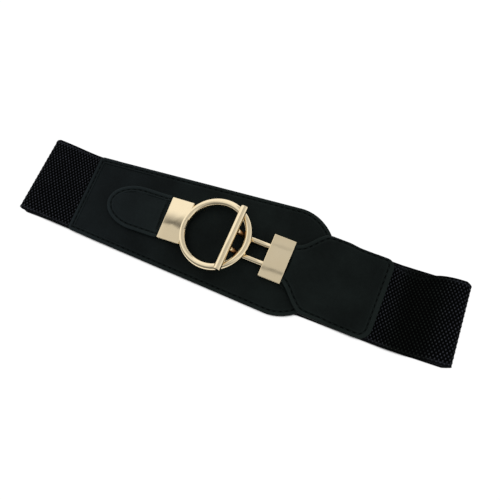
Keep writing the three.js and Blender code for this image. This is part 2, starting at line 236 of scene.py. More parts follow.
class Wire:
    """A value in a node tree: sums on it add Math nodes, and node() adds any other node."""

    def __init__(self, tree, socket=None):
        self.tree, self.socket = tree, socket

    def node(self, kind, settings=None, values=None, output=0):
        made = self.tree.nodes.new(kind)
        for name, setting in (settings or {}).items():
            setattr(made, name, setting)
        for name, value in (values or {}).items():
            if isinstance(value, Wire):
                self.tree.links.new(value.socket, made.inputs[name])
            else:
                made.inputs[name].default_value = value
        return Wire(self.tree, made.outputs[output]) if len(made.outputs) else None

    def math(self, operation, *values):
        settings = {"operation": operation}
        return self.node("ShaderNodeMath", settings, dict(enumerate((self, *values))))

    def __add__(self, other):
        return self.math("ADD", other)

    def __radd__(self, other):
        return self + other

    def __mul__(self, other):
        return self.math("MULTIPLY", other)

    def __sub__(self, other):
        return self.math("SUBTRACT", other)

    def __truediv__(self, other):
        return self.math("DIVIDE", other)

    def __rsub__(self, other):
        return (self * -1) + other

    def __neg__(self):
        return self * -1

    def cosine(self):
        return self.math("COSINE")

    def power(self, exponent):
        return self.math("POWER", exponent)

    def clamped(self):
        return self.math("MINIMUM", 1).math("MAXIMUM", 0)

    def between(self, low, high):
        """0 below low, 1 above high and smooth between them."""
        return self.node("ShaderNodeMapRange", {"interpolation_type": "SMOOTHSTEP"},
                         {"Value": self, "From Min": low, "From Max": high})

    def mixed(self, low, high):
        """A colour between two, with this value as the share of the second."""
        low, high = (c if isinstance(c, Wire) else (*c[:3], 1) for c in (low, high))
        return self.node("ShaderNodeMix", {"data_type": "RGBA"}, {0: self, 6: low, 7: high}, 2)

    def noise(self, scale, detail=3.0, where=None):
        values = {"Vector": where or self.place(), "Scale": scale, "Detail": detail}
        return self.node("ShaderNodeTexNoise", None, values)

    def place(self):
        return self.node("ShaderNodeTexCoord", output=3)

    def bump(self, distance, strength=1.0, normal=None):
        values = {"Height": self, "Distance": distance, "Strength": strength}
        if normal:
            values["Normal"] = normal
        return self.node("ShaderNodeBump", None, values)


def finish(name, build):
    """A material whose shader is set by what build returns: constants, and wires for what varies."""
    made = bpy.data.materials.new(name)
    made.use_nodes = True
    tree = made.node_tree
    tree.nodes.clear()
    start = Wire(tree)
    shader = start.node("ShaderNodeBsdfPrincipled", None, build(start))
    start.node("ShaderNodeOutputMaterial", None, {"Surface": shader})
    return made


def tree_inputs(name, **sizes):
    """A Geometry Nodes tree with a mesh in, a mesh out and named sizes."""
    tree = bpy.data.node_groups.new(name, "GeometryNodeTree")
    tree.interface.new_socket("Mesh", in_out="OUTPUT", socket_type="NodeSocketGeometry")
    tree.interface.new_socket("Mesh", in_out="INPUT", socket_type="NodeSocketGeometry")
    for size in sizes:
        tree.interface.new_socket(size, in_out="INPUT", socket_type="NodeSocketFloat")
    given = tree.nodes.new("NodeGroupInput")
    return tree, {s.name: Wire(tree, s) for s in given.outputs if s.name}


def close_tree(tree, mesh, material):
    real = mesh.node("GeometryNodeRealizeInstances", None, {"Geometry": mesh})
    done = real.node("GeometryNodeSetMaterial", None, {"Geometry": real, "Material": material})
    end = tree.nodes.new("NodeGroupOutput")
    tree.links.new(done.socket, end.inputs[0])


def run_tree(made, tree, **sizes):
    """Runs the tree on an object and leaves the plain mesh that it gives."""
    modifier = made.modifiers.new(tree.name, "NODES")
    modifier.node_group = tree
    for item in tree.interface.items_tree:
        if item.in_out == "INPUT" and item.name in sizes:
            modifier[item.identifier] = float(sizes[item.name])
    held = made.evaluated_get(bpy.context.evaluated_depsgraph_get())
    mesh = bpy.data.meshes.new_from_object(held)
    made.modifiers.clear()
    made.data = mesh
    return made


webbing, band_length, weave_along, weave_across = band_mesh()
# The weave's pits get a painted shade colour and the floats a painted glint colour; a dimmer, greener
# glint colour stands for the shaded middle.
pit_shade_colour = (0.0004, 0.0005, 0.0006)
shaded_yarn_glint_colour = (0.0560, 0.0700, 0.0590)
yarn_glint_colour = (0.0760, 0.0820, 0.1020)
strand_wide = 0.32
border_soft = 0.2
edge_thread_in = 0.7
edge_thread_half = (0.0002, 0.0006)
patch_scale = 110
# Painted shade and light: the webbing darkens towards one place along X in its middle and lightens away
# from it, where it rises to the folds and the panel.
streak_scale = (260, 900, 0)
shade_core = 0.004
shade_fade = 0.024
weave_relief = 0.00022
full_turn = 2 * math.pi


def webbing_finish(start):
    lay = start.node("ShaderNodeAttribute", {"attribute_name": "lay"}, output=1)
    split = start.node("ShaderNodeSeparateXYZ", None, {0: lay})
    along, across = split, Wire(start.tree, split.socket.node.outputs[1])
    rows = (along * (full_turn / (weave_along * MM))).cosine()
    chequer = rows * (across * (full_turn / (weave_across * MM))).cosine()
    side = across.math("ABSOLUTE")
    field_half = band_width / 2 - selvedge
    border = side.between((field_half - border_soft) * MM, (field_half + border_soft) * MM)
    from_thread = (side - (field_half - edge_thread_in) * MM).math("ABSOLUTE")
    edge_thread = 1 - from_thread.between(*edge_thread_half)
    strand = (across * (full_turn / (strand_wide * MM))).cosine() * 0.5 + 0.5
    streaks = start.noise(1, 4, lay.node("ShaderNodeVectorMath", {"operation": "MULTIPLY"},
                                         {0: lay, 1: streak_scale}))
    patches = start.noise(patch_scale, 2)
    place = start.place().node("ShaderNodeSeparateXYZ", None, {0: start.place()})
    # A painted light factor: 0.35 at that middle place, up to 1 away from it.
    from_shade_middle = (place - shade_middle_x * MM).math("ABSOLUTE")
    painted_light = from_shade_middle.between(shade_core, shade_fade) * 0.65 + 0.35
    # The floats' relief is real; their lighter colour against the pits is a painted glint over painted
    # shade.
    yarn = (chequer.between(0.12, 1.0) + edge_thread * 0.35).clamped() * (1 - border) + border * 0.1
    shade = (yarn * (streaks * 1.6 - 0.15) * (0.4 + patches) * painted_light).clamped()
    height = yarn + strand * yarn * 0.25
    thread = (painted_light * 1.6 - 0.6).clamped().mixed(shaded_yarn_glint_colour, yarn_glint_colour)
    return {
        "Base Color": shade.mixed(pit_shade_colour, thread),
        "Roughness": 0.75 - yarn * 0.1,
        "Normal": height.bump(weave_relief),
        "Specular IOR Level": 0.03,
    }


webbing_black = finish("woven_elastic", webbing_finish)
weave_tree, given = tree_inputs("Webbing weave", Depth=0, Along=0, Across=0)
lay = given["Mesh"].node("GeometryNodeInputNamedAttribute", {"data_type": "FLOAT_VECTOR"},
                         {"Name": "lay"})
split = lay.node("ShaderNodeSeparateXYZ", None, {0: lay})
place_along, place_across, on_field = (Wire(weave_tree, s) for s in split.socket.node.outputs)
waves = (place_along / given["Along"] * full_turn).cosine()
waves = waves * (place_across / given["Across"] * full_turn).cosine()
normal = lay.node("GeometryNodeInputNormal")
offset = normal.node("ShaderNodeVectorMath", {"operation": "SCALE"},
                     {0: normal, "Scale": (waves - 1) * on_field * given["Depth"]})
woven = offset.node("GeometryNodeSetPosition", None, {"Geometry": given["Mesh"], "Offset": offset})
close_tree(weave_tree, woven, webbing_black)
run_tree(webbing, weave_tree, Depth=weave_depth * MM, Along=weave_along * MM, Across=weave_across * MM)
webbing.data.shade_smooth()
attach(webbing, "root")
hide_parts("elastic_band")

# Base panel: the stiff black leather piece behind the whole buckle, two layers stitched together
# round the edge over the elastic's left end. Its sides spread towards a round end under the hook.
panel_turn = 1.15
panel_thick = 3
panel_end_width = 63.7
panel_wide_width = 83
panel_straight = 54
panel_nose = 36
panel_corner = 3
panel_top = front_layer + panel_thick
clearance = 0.3
on_panel = panel_top + clearance
lap_ceiling = front_layer + band_thick + clearance
lap_step = 0.6
side_seam = 3.0
end_seam = 2.8
seam_depth = 0.7
rim_round = 0.42
rim_most = 0.9
rim_sunk = 0.1
rim_puff = 0.05
# Rows of the puffed rim: share of its round part's width and shine, which is painted shade on the wall
# and a painted highlight on the rim
rim_rows = ((0.0, -1), (0.12, -0.8), (0.35, 0), (0.65, 1.0), (1.0, 1.0))
# Rows of the seam's channel: distance inside the stitches, height over the face and shine, which is
# painted shade in the channel and a painted highlight beside it
channel_rows = (
    (-0.75, -0.04, 0.6), (-0.5, -0.2, 0), (-0.3, -0.45, -1), (0, -seam_depth, -1), (0.3, -0.45, -1),
    (0.5, -0.2, 0), (0.8, -0.02, 0.4), (1.3, 0.03, 0.3), (2.2, 0.0, 0),
)
corner_steps = 24
half_corner = corner_steps // 2
quarter = 24
round_steps = 4 * quarter + 1
stitch_pitch = 4.4
stitch_length = 3.1
thread_wide = 0.84
thread_lift = 0.3


def even_points(points, count):
    """A line respaced evenly, without its last point, where the next side starts."""
    points = np.asarray(points, float)
    gaps = np.linalg.norm(np.diff(points, axis=0), axis=1)
    along = np.concatenate([[0], np.cumsum(gaps)])
    places = np.linspace(0, along[-1], count + 1)[:-1]
    return np.stack([np.interp(places, along, column) for column in points.T], 1)


def outline(start, low, end, high, across, length):
    """A closed outline, counterclockwise from the start's upper corner."""
    sides = ((start, across), (low, length), (end, across), (high, length))
    return np.concatenate([even_points(points, count) for points, count in sides])


def arc(middle, radii, first, last, steps=corner_steps):
    angles = np.radians(np.linspace(first, last, steps))
    return np.stack([middle[0] + radii[0] * np.cos(angles), middle[1] + radii[1] * np.sin(angles)], 1)


def inset(loop, distance):
    """A closed outline drawn in. distance gives each point's inset along X and Y."""
    ahead, behind = np.roll(loop, -1, 0), np.roll(loop, 1, 0)
    run = ahead - behind
    run /= np.linalg.norm(run, axis=1)[:, None]
    for _ in range(3):
        run = run + 0.5 * (np.roll(run, -1, 0) + np.roll(run, 1, 0))
        run /= np.linalg.norm(run, axis=1)[:, None]
    return loop + np.stack([-run[:, 1], run[:, 0]], 1) * distance


def undulation(x, y):
    """Slow unevenness of hand-laid leather, from 0 down to -1."""
    waves = np.sin(x / 8.3 + 1.1) * np.cos(y / 6.1 + 0.4) + np.sin(x / 13.7 - y / 9.2 + 2.0)
    return waves / 4 - 0.5


def leather_piece(name, edge, seam, across, length, bottom, top, turn, waves=0.12, polish_and_sheen=0.0):
    """A sewn leather piece: a round wall, a puffed rim, the seam's channel and the field inside it."""
    reach = seam - edge
    wide = np.linalg.norm(reach, axis=1)[:, None]
    way = reach / wide
    low, high = bottom(edge[:, 0]), top(edge[:, 0])
    soft = np.minimum(rim_most, rim_round * (high - low))[:, None]
    rings, heights, rims = [], [], []

    def ring(flat, face, drop, rim=0.0):
        base = (bottom if face == "bottom" else top)(flat[:, 0])
        rings.append(flat)
        heights.append(base + np.ravel(drop))
        rims.append(np.full(len(flat), float(rim)))

    def roundness(share):
        """How far the wall's round edge lies under its face, at a share of the edge's width."""
        return soft[:, 0] * (1 - math.sqrt(1 - (1 - share) ** 2))

    # The wall's shine of -1 is painted shade; the puffed rim's 0.8 is a painted highlight.
    for share in (1.0, 0.55, 0.2, 0.0):
        ring(edge + way * soft * share, "bottom", roundness(share), -1)
    for share, shine in rim_rows:
        ring(edge + way * soft * share, "top", -roundness(share) - rim_sunk * (1 - share), shine)
    for share in (0.35, 0.6):
        ring(edge + way * lerp(soft, wide - 0.7, share), "top", rim_puff, 0.8)
    for inside, drop, shine in channel_rows:
        ring(seam + way * inside, "top", drop, shine)
    flat = np.concatenate(rings)
    z = np.concatenate(heights)
    count = len(edge)
    faces = skin(len(rings), count)
    points = [np.column_stack([flat, z])]
    rim = [np.concatenate(rims)]
    size = len(flat)
    for loop_start, face in ((0, bottom), ((len(rings) - 1) * count, top)):
        loop = flat[loop_start:loop_start + count]
        grid = np.zeros((length + 1, across + 1), int)
        index = loop_start + np.arange(count + 1)
        index[-1] = loop_start
        grid[0, ::-1] = index[:across + 1]
        grid[:, 0] = index[across:across + length + 1]
        grid[-1, :] = index[across + length:2 * across + length + 1]
        grid[::-1, -1] = index[2 * across + length:]
        corner = flat[grid[[0, 0, -1, -1], [0, -1, 0, -1]]]
        u = np.linspace(0, 1, length + 1)[1:-1, None, None]
        v = np.linspace(0, 1, across + 1)[None, 1:-1, None]
        lower, upper = flat[grid[1:-1, 0]][:, None], flat[grid[1:-1, -1]][:, None]
        left, right = flat[grid[0, 1:-1]][None], flat[grid[-1, 1:-1]][None]
        patch = (lerp(lower, upper, v) + lerp(left, right, u)
                 - lerp(lerp(corner[0], corner[1], v), lerp(corner[2], corner[3], v), u))
        inner = patch.reshape(-1, 2)
        if face is top:
            far = np.minimum(np.minimum(u, 1 - u) * length, np.minimum(v, 1 - v) * across)
            fade = np.broadcast_to(np.clip(far / 4, 0, 1), patch.shape[:2] + (1,)).reshape(-1)
            swell = waves * undulation(inner[:, 0], inner[:, 1]) * fade
        else:
            swell = 0
        points.append(np.column_stack([inner, face(inner[:, 0]) + swell]))
        rim.append(np.zeros(len(inner)))
        grid[1:-1, 1:-1] = size + np.arange(len(inner)).reshape(length - 1, across - 1)
        size += len(inner)
        quads = np.stack([grid[:-1, :-1], grid[1:, :-1], grid[1:, 1:], grid[:-1, 1:]], -1)
        faces += quads.reshape(-1, 4).tolist()
    made = mesh_object(name, placed(np.concatenate(points), turn), faces)
    # Painted shine for each point, with a painted sheen added over the whole piece.
    attribute = made.data.attributes.new("rim", "FLOAT", "POINT")
    attribute.data.foreach_set("value", (np.concatenate(rim) + polish_and_sheen).astype(np.float32))
    return made


leather_dark = (0.0006, 0.0011, 0.0011)
leather_cool = (0.0180, 0.0262, 0.0290)
leather_green = (0.0180, 0.0262, 0.0242)
thread_dark = (0.0060, 0.0085, 0.0085)
thread_light = (0.0150, 0.0205, 0.0200)
pore_scale = 1300.0
crease_scale = 420
blotch_scale = 38
twist_scale = 2600
leather_relief = 0.00007
thread_relief = 0.00008


def leather_finish(start):
    where = start.place()
    rim = start.node("ShaderNodeAttribute", {"attribute_name": "rim"}, output=2)
    pores = start.node("ShaderNodeTexVoronoi", {"feature": "SMOOTH_F1"},
                       {"Vector": where, "Scale": pore_scale, "Smoothness": 0.6})
    creases = start.noise(crease_scale, 4, where)
    tone = start.noise(blotch_scale, 3, where)
    along = where.node("ShaderNodeSeparateXYZ", None, {0: where})
    lit = along.between(-0.12, 0.0).mixed(leather_cool, leather_green)
    # rim holds the painted shine: a painted highlight on the rim, painted shade on the wall and in the
    # seam's channel.
    shade = (tone * 0.7 + creases * 0.2 + rim * 0.32).between(-0.1, 1.25)
    height = pores * 0.5 + creases * 0.9
    return {
        "Base Color": shade.mixed(leather_dark, lit),
        "Roughness": 0.6 - rim * 0.05 + (creases - 0.5) * 0.2,
        "Normal": height.bump(leather_relief, 0.8),
        "Specular IOR Level": 0.06,
    }


def thread_finish(start):
    twist = start.noise(twist_scale, 2)
    return {
        "Base Color": twist.mixed(thread_dark, thread_light),
        "Roughness": 0.5 + twist * 0.2,
        "Normal": twist.bump(thread_relief),
        "Specular IOR Level": 0.06,
    }


black_leather = finish("black_leather", leather_finish)
black_thread = finish("black_thread", thread_finish)

stitch_tree, given = tree_inputs("Seam stitches", Pitch=0, Length=0, Width=0)
line = given["Mesh"].node("GeometryNodeMeshToCurve", None, {"Mesh": given["Mesh"]})
needle = line.node("GeometryNodeResampleCurve", {"mode": "LENGTH"},
                   {"Curve": line, "Length": given["Pitch"]})
tangent = needle.node("GeometryNodeInputTangent")
aim = tangent.node("FunctionNodeAlignRotationToVector", {"axis": "X"}, {"Vector": tangent})
ball = needle.node("GeometryNodeMeshUVSphere", None, {"Segments": 8, "Rings": 6, "Radius": 0.5})
size = ball.node("ShaderNodeCombineXYZ", None,
                 {0: given["Length"], 1: given["Width"], 2: given["Width"]})
thread = needle.node("GeometryNodeInstanceOnPoints", None,
                     {"Points": needle, "Instance": ball, "Rotation": aim, "Scale": size})
close_tree(stitch_tree, thread, black_thread)


def stitches(name, line, top, turn, closed=True):
    """A row of stitches in the channel along a line."""
    z = top(line[:, 0]) - seam_depth + thread_lift * thread_wide
    points = placed(np.column_stack([line, z]), turn) * MM
    mesh = bpy.data.meshes.new(name)
    count = len(points)
    edges = [(k, (k + 1) % count) for k in range(count if closed else count - 1)]
    mesh.from_pydata(points.tolist(), edges, [])
    made = bpy.data.objects.new(name, mesh)
    bpy.context.collection.objects.link(made)
    run_tree(made, stitch_tree, Pitch=stitch_pitch * MM, Length=stitch_length * MM,
             Width=thread_wide * MM)
    made.data.shade_smooth()
    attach(made, "root")
    return made


def base_half(x):
    along = (x + panel_reach) / (panel_reach + panel_straight)
    return lerp(panel_end_width, panel_wide_width, along) / 2


def base_bottom(x):
    return lerp(lap_ceiling, front_layer, ease((x + panel_reach - lap - clearance) / lap_step))


def base_top(x):
    return np.full_like(x, panel_top)


across, length = 56, 190
end_half = float(base_half(-panel_reach))
corner = (-panel_reach + panel_corner, -end_half + panel_corner)
low_corner = arc(corner, (panel_corner, panel_corner), 180, 270)
nose = arc((panel_straight, 0), (panel_nose, panel_wide_width / 2), -90, 90, round_steps)
low_side = np.concatenate([low_corner[half_corner:], nose[:quarter + 1]])
mirrored = np.array([1, -1])
corner_start = low_corner[:half_corner + 1]
base_edge = outline(
    np.concatenate([corner_start[::-1] * mirrored, corner_start]), low_side,
    nose[quarter:3 * quarter + 1], low_side[::-1] * mirrored, across, length,
)
base_inset = np.where(base_edge[:, :1] < 0, (end_seam, side_seam), (side_seam, side_seam))
base_seam = inset(base_edge, base_inset)
base_panel = leather_piece("base_panel_leather", base_edge, base_seam, across, length, base_bottom,
                           base_top, panel_turn)
base_panel.data.materials.append(black_leather)
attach(base_panel, "root")
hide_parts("base_panel")
stitches("base_panel_stitches", base_seam, base_top, panel_turn)

# Tab: the leather strip that holds the ring's clip. It lies on the base panel with its round end to
# the left, is stitched down round its edge and creases up into the clip's slot.
tab_thick = 2
tab_reach = 89.6
tab_width = 35.2
tab_round = 25.5
tab_shift = 1.2
tab_crease = 5
tab_seam = 3.3
tab_seam_sunk = 1
ring_clip_length = 18
hook_clip_length = 17
clip_width = 33.4
clip_wall = 1.2
clip_bevel = 0.6
grip_depth = 12
ring_clip_mid = 31.6
ring_clip_shift = 0.6
ring_radius = 24.9
ring_wire = 5.6
rod_wire = 4.2
clip_height = tab_thick + 2 * clearance + 2 * clip_wall
grip_width = clip_width - 2 * clip_wall - 2 * clearance
rod_height = on_panel + rod_wire / 2
ring_rise = rod_height + rod_wire / 2 + clearance + ring_wire / 2 - on_panel - clip_height / 2
ring_tilt = math.asin(ring_rise / (ring_clip_length / 2 + ring_clip_mid + ring_radius))
ring_clip_height = on_panel + clip_height / 2 + ring_clip_length / 2 * math.sin(ring_tilt)
clip_start = -ring_clip_mid - ring_clip_length / 2 * math.cos(ring_tilt)


def ring_plane(x):
    return ring_clip_height + (ring_clip_mid + x) * math.tan(ring_tilt)


tab_mouth = clip_start - clearance
tab_notch = (tab_width - grip_width) / 4
crease_start = tab_mouth - tab_notch - tab_crease
tab_seam_end = clip_start + tab_seam_sunk


def tab_bottom(x):
    lifted = ring_plane(np.maximum(x, tab_mouth - tab_notch)) - tab_thick / 2
    return np.where(x > tab_mouth - tab_notch, lifted,
                    lerp(on_panel, lifted, ease((x - crease_start) / tab_crease)))


def tab_top(x):
    return tab_bottom(x) + tab_thick


tab_low, tab_high = tab_shift - tab_width / 2, tab_shift + tab_width / 2
round_middle = (-tab_reach + tab_round, tab_shift)
round_end = arc(round_middle, (tab_round, tab_width / 2), 90, 270, round_steps)
high_round, end_side = round_end[:quarter + 1], round_end[quarter:3 * quarter + 1]
low_round = round_end[3 * quarter:]
grip_low, grip_high = ring_clip_shift - grip_width / 2, ring_clip_shift + grip_width / 2
grip_end = clip_start + grip_depth
low_notch = [(tab_mouth - tab_notch, tab_low), (tab_mouth, grip_low), (tab_seam_end, grip_low)]
high_notch = [(tab_seam_end, grip_high), (tab_mouth, grip_high), (tab_mouth - tab_notch, tab_high)]
in_clip = [low_notch[-1], (grip_end, grip_low), (grip_end, grip_high), high_notch[0]]
seam_corners = [(tab_seam_end, tab_low), (tab_seam_end, tab_high)]
across, length = 64, 66
tab_edge = outline(end_side, np.concatenate([low_round, low_notch]), in_clip,
                   np.concatenate([high_notch, high_round]), across, length)
drawn = outline(end_side, np.concatenate([low_round, seam_corners[:1]]), seam_corners,
                np.concatenate([seam_corners[1:], high_round]), across, length)
tab_seam_line = inset(drawn, (tab_seam, tab_seam))
tab_seam_line[:, 0] = np.minimum(tab_seam_line[:, 0], tab_seam_end)
on_end = slice(across + length, 2 * across + length + 1)
tab_seam_line[on_end, 0] = tab_seam_end
tab_seam_line[on_end, 1] = np.linspace(tab_low + tab_seam, tab_high - tab_seam, across + 1)
# The tab's whole face gets a painted sheen on top of its rim's shine, and a little less roughness.
tab = leather_piece("tab_leather", tab_edge, tab_seam_line, across, length, tab_bottom, tab_top,
                    half_turn, waves=0.08, polish_and_sheen=0.35)
tab.data.materials.append(black_leather)
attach(tab, "root")
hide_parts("tab")
sewn = np.concatenate([tab_seam_line[2 * across + length:], tab_seam_line[:across + length + 1]])
stitches("tab_stitches", sewn, tab_top, half_turn, closed=False)

# Ring clip: cast zinc plated in pale gold. The clip grips the tab's end, and the round ring that
# the hook goes through is cast on its right wall.
# Where the rods under the ring get painted shade: from this X, under this height, and a margin past the
# ring's inner edge.
shade_from_x = 15
shade_below_z = 16
shade_margin = 0.5
ring_steps = 144
ring_sides = 32
sharp_angle = 50


def closed_tube(path, radius, sides, ring=False):
    """A round bar along a path of points that lies in one plane across Y, or a closed ring."""
    path = np.asarray(path, float)
    ahead = np.roll(path, -1, 0) - np.roll(path, 1, 0)
    if not ring:
        ahead[0], ahead[-1] = path[1] - path[0], path[-1] - path[-2]
    ahead /= np.linalg.norm(ahead, axis=1)[:, None]
    level = np.array([0, 0, 1.0]) if ring else np.array([0, 1.0, 0])
    out = np.cross(ahead, level)
    angles = np.linspace(0, full_turn, sides, endpoint=False)
    points = (path[:, None] + radius * (np.cos(angles)[None, :, None] * out[:, None]
                                        + np.sin(angles)[None, :, None] * level)).reshape(-1, 3)
    faces = skin(len(path), sides, closed=ring)
    return points, faces if ring else faces + caps(len(path), sides)


def rounded_box(name, size, bevel):
    work = bmesh.new()
    bmesh.ops.create_cube(work, size=1)
    bmesh.ops.scale(work, vec=Vector(size) * MM, verts=work.verts)
    if bevel:
        bmesh.ops.bevel(work, geom=work.edges[:], offset=bevel * MM, segments=3,
                        profile=0.5, affect="EDGES")
    mesh = bpy.data.meshes.new(name)
    work.to_mesh(mesh)
    work.free()
    made = bpy.data.objects.new(name, mesh)
    bpy.context.collection.objects.link(made)
    return made


def combined(first, others, operation):
    """One closed body from several, with those others removed."""
    for other in others:
        modifier = first.modifiers.new("join", "BOOLEAN")
        modifier.operation, modifier.solver, modifier.object = operation, "EXACT", other
    held = first.evaluated_get(bpy.context.evaluated_depsgraph_get())
    mesh = bpy.data.meshes.new_from_object(held)
    first.modifiers.clear()
    first.data = mesh
    for other in others:
        bpy.data.objects.remove(other)
    return first


def clip_box(name, clip_length):
    """The clip's box with rounded edges, and the pocket that opens towards -X."""
    box = rounded_box(name, (clip_length, clip_width, clip_height), clip_bevel)
    pocket_end = -clip_length / 2 + grip_depth + clearance
    opening = (clip_length, grip_width + 2 * clearance, tab_thick + 2 * clearance)
    pocket = rounded_box("pocket", opening, 0)
    pocket.data.transform(Matrix.Translation(Vector((pocket_end - clip_length / 2, 0, 0)) * MM))
    return combined(box, [pocket], "DIFFERENCE")


def seated(made, place, turn, tilt=0.0):
    """Moves a mesh from its own middle to its place in a turned half of the belt."""
    belt = Vector((*ring_middle, 0)) * MM
    made.data.transform(Matrix.Translation(belt) @ Matrix.Rotation(math.radians(turn), 4, "Z")
                        @ Matrix.Translation(Vector(place) * MM) @ Matrix.Rotation(-tilt, 4, "Y"))
    made.data.shade_smooth()
    made.data.set_sharp_from_angle(angle=math.radians(sharp_angle))
    level = made.modifiers.new("level faces", "WEIGHTED_NORMAL")
    level.weight, level.keep_sharp = 100, True
    mesh = bpy.data.meshes.new_from_object(made.evaluated_get(bpy.context.evaluated_depsgraph_get()))
    made.modifiers.clear()
    made.data = mesh
    # The rods under the ring, inside it, right of one X and below one height, are marked for painted
    # shade and a painted orange reflection.
    points = np.array([v.co for v in made.data.vertices]) / MM - np.array([*ring_middle, 0])
    inside = np.hypot(points[:, 0], points[:, 1]) < ring_radius - ring_wire / 2 + shade_margin
    under_ring_shade = inside & (points[:, 0] > shade_from_x) & (points[:, 2] < shade_below_z)
    attribute = made.data.attributes.new("ring_shade", "FLOAT", "POINT")
    attribute.data.foreach_set("value", under_ring_shade.astype(np.float32))
    return made


gold_deep = (0.90, 0.74, 0.48)
gold_pale = (0.97, 0.83, 0.58)
# The colours of that painted shade: dark brown, up to a painted orange reflection.
ring_shade_colours = (0.04, 0.016, 0.007), (0.50, 0.24, 0.10)
cloud_scale = 55
smear_scale = 260
ripple_scale = 120
ripple_relief = 0.00002


def gold_finish(start):
    where = start.place()
    cloud = start.noise(cloud_scale, 2, where)
    smear = start.noise(smear_scale, 4, where)
    ripple = start.noise(ripple_scale, 1, where)
    own = start.node("ShaderNodeAttribute", {"attribute_name": "ring_shade"}, output=2)
    # Painted shade and a painted orange reflection on the rods under the ring, which are also rougher
    # there.
    ring_shade = own * (0.6 + smear * 0.6)
    return {
        "Base Color": (ring_shade * 0.9).mixed(cloud.mixed(gold_deep, gold_pale), smear.mixed(*ring_shade_colours)),
        "Metallic": 1.0,
        "Roughness": 0.02 + smear * 0.035 + ring_shade * 0.2,
        "Normal": ripple.bump(ripple_relief, 0.4),
    }


pale_gold = finish("pale_gold_plate", gold_finish)
ring_clip = clip_box("ring_clip_metal", ring_clip_length)
angles = np.linspace(0, full_turn, ring_steps, endpoint=False)
circle = np.stack([np.cos(angles), np.sin(angles), 0 * angles], 1) * ring_radius
circle += [ring_clip_mid / math.cos(ring_tilt), -ring_clip_shift, 0]
ring = mesh_object("ring", *closed_tube(circle, ring_wire / 2, ring_sides, ring=True))
combined(ring_clip, [ring], "UNION")
seated(ring_clip, (-ring_clip_mid, ring_clip_shift, ring_clip_height), half_turn, ring_tilt)
ring_clip.data.materials.clear()
ring_clip.data.materials.append(pale_gold)
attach(ring_clip, "root")
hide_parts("ring_clip")

# Hook clip: the same cast clip on the right. Two rods soldered in its left wall run under the
# ring, come up inside it and carry the bar that lies across the ring and keeps the belt shut.
hook_clip_mid = 49.1
bar_place = 13.6
bar_length = 50.4
bar_wire = 5.6
bar_chamfer = 0.5
bar_soft = 0.15
rod_spacing = 14
rod_bend = (270, 245, 220, 195)
rod_steps = 6
rod_sides = 20
bar_sides = 40
hook_clip_height = on_panel + clip_height / 2
bar_height = ring_plane(bar_place) + (ring_wire / 2 + clearance + bar_wire / 2) / math.cos(ring_tilt)


def curve_through(points, steps):
    """A smooth line through points, evenly paced between them."""
    points = np.asarray(points, float)
    ends = np.concatenate([[2 * points[0] - points[1]], points, [2 * points[-1] - points[-2]]])
    line = []
    for k in range(len(points) - 1):
        a, b, c, d = ends[k:k + 4]
        for t in np.linspace(0, 1, steps, endpoint=False):
            line.append(0.5 * (2 * b + (c - a) * t + (2 * a - 5 * b + 4 * c - d) * t ** 2
                               + (3 * b - a - 3 * c + d) * t ** 3))
    return np.array(line + [points[-1]])


def rod(side):
    y = side * rod_spacing / 2
    wrap = ring_wire / 2 + rod_wire / 2 + 2 * clearance
    ring_side = math.sqrt(ring_radius ** 2 - y ** 2)
    in_clip = hook_clip_mid - hook_clip_length / 2 + clip_wall
    wire_height = ring_plane(ring_side)
    bend = [(ring_side + wrap * math.cos(a), y, max(wire_height + wrap * math.sin(a), rod_height))
            for a in np.radians(rod_bend)]
    route = curve_through([
        (in_clip, y, hook_clip_height), (lerp(in_clip, ring_side, 1 / 3), y, rod_height),
        (lerp(in_clip, ring_side, 2 / 3), y, rod_height), *bend, (bar_place, y, bar_height),
    ], rod_steps)
    return mesh_object("rod", *closed_tube(route, rod_wire / 2, rod_sides))


def bar():
    half, radius = bar_length / 2, bar_wire / 2
    right_end = [(radius, half - bar_chamfer), (radius - bar_soft, half - bar_soft),
                 (radius - bar_chamfer, half)]
    profile = [(r, -y) for r, y in right_end[::-1]] + right_end
    angles = np.linspace(0, full_turn, bar_sides, endpoint=False)
    points = np.concatenate([np.stack([r * np.cos(angles), 0 * angles + y, r * np.sin(angles)], 1)
                             for r, y in profile])
    faces = skin(len(profile), bar_sides) + caps(len(profile), bar_sides)
    return mesh_object("bar", points + np.array([bar_place, 0, bar_height]), faces)


hook_clip = clip_box("hook_clip_metal", hook_clip_length)
hook_clip.data.transform(Matrix.Translation(Vector((hook_clip_mid, 0, hook_clip_height)) * MM)
                         @ Matrix.Rotation(math.pi, 4, "Z"))
combined(hook_clip, [bar(), rod(-1), rod(1)], "UNION")
seated(hook_clip, (0, 0, 0), -half_turn)
hook_clip.data.materials.clear()
hook_clip.data.materials.append(pale_gold)
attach(hook_clip, "root")
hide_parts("hook_clip")

# Front panel: the leather piece on the hook's side, with a narrow neck held in the clip. It spreads
# over the base panel's round end, steps down onto the elastic and is stitched round its edge.
front_thick = 3
front_width = 61.9
front_shift = 0.3
front_neck_width = 30
front_shoulder = 80
front_upper_corner = 6.5
front_lower_corner = 9
front_step_start = 1.5
front_step_length = 12
front_crease = 6
shoulder_seam = 3.5
upper_seam = 1.9
lower_seam = 3
front_end_seam = 3.9
front_side_start = 70
front_side_settle = 16
front_end_start = 110
front_seam_sunk = 3
shoulder_gap = 0.6
shoulder_steps = 60
clip_end = hook_clip_mid + hook_clip_length / 2
neck_mouth = clip_end + clearance
shoulder_start = neck_mouth + shoulder_gap
seam_start = clip_end - front_seam_sunk
shoulder_rows = np.array([
    (0, 0, 0), (0.2, 0.15, 0.23), (0.4, 0.43, 0.51), (0.6, 0.74, 0.77), (0.8, 0.95, 0.95), (1, 1, 1),
])


def front_settle(x):
    return ease((x - neck_mouth) / front_crease)


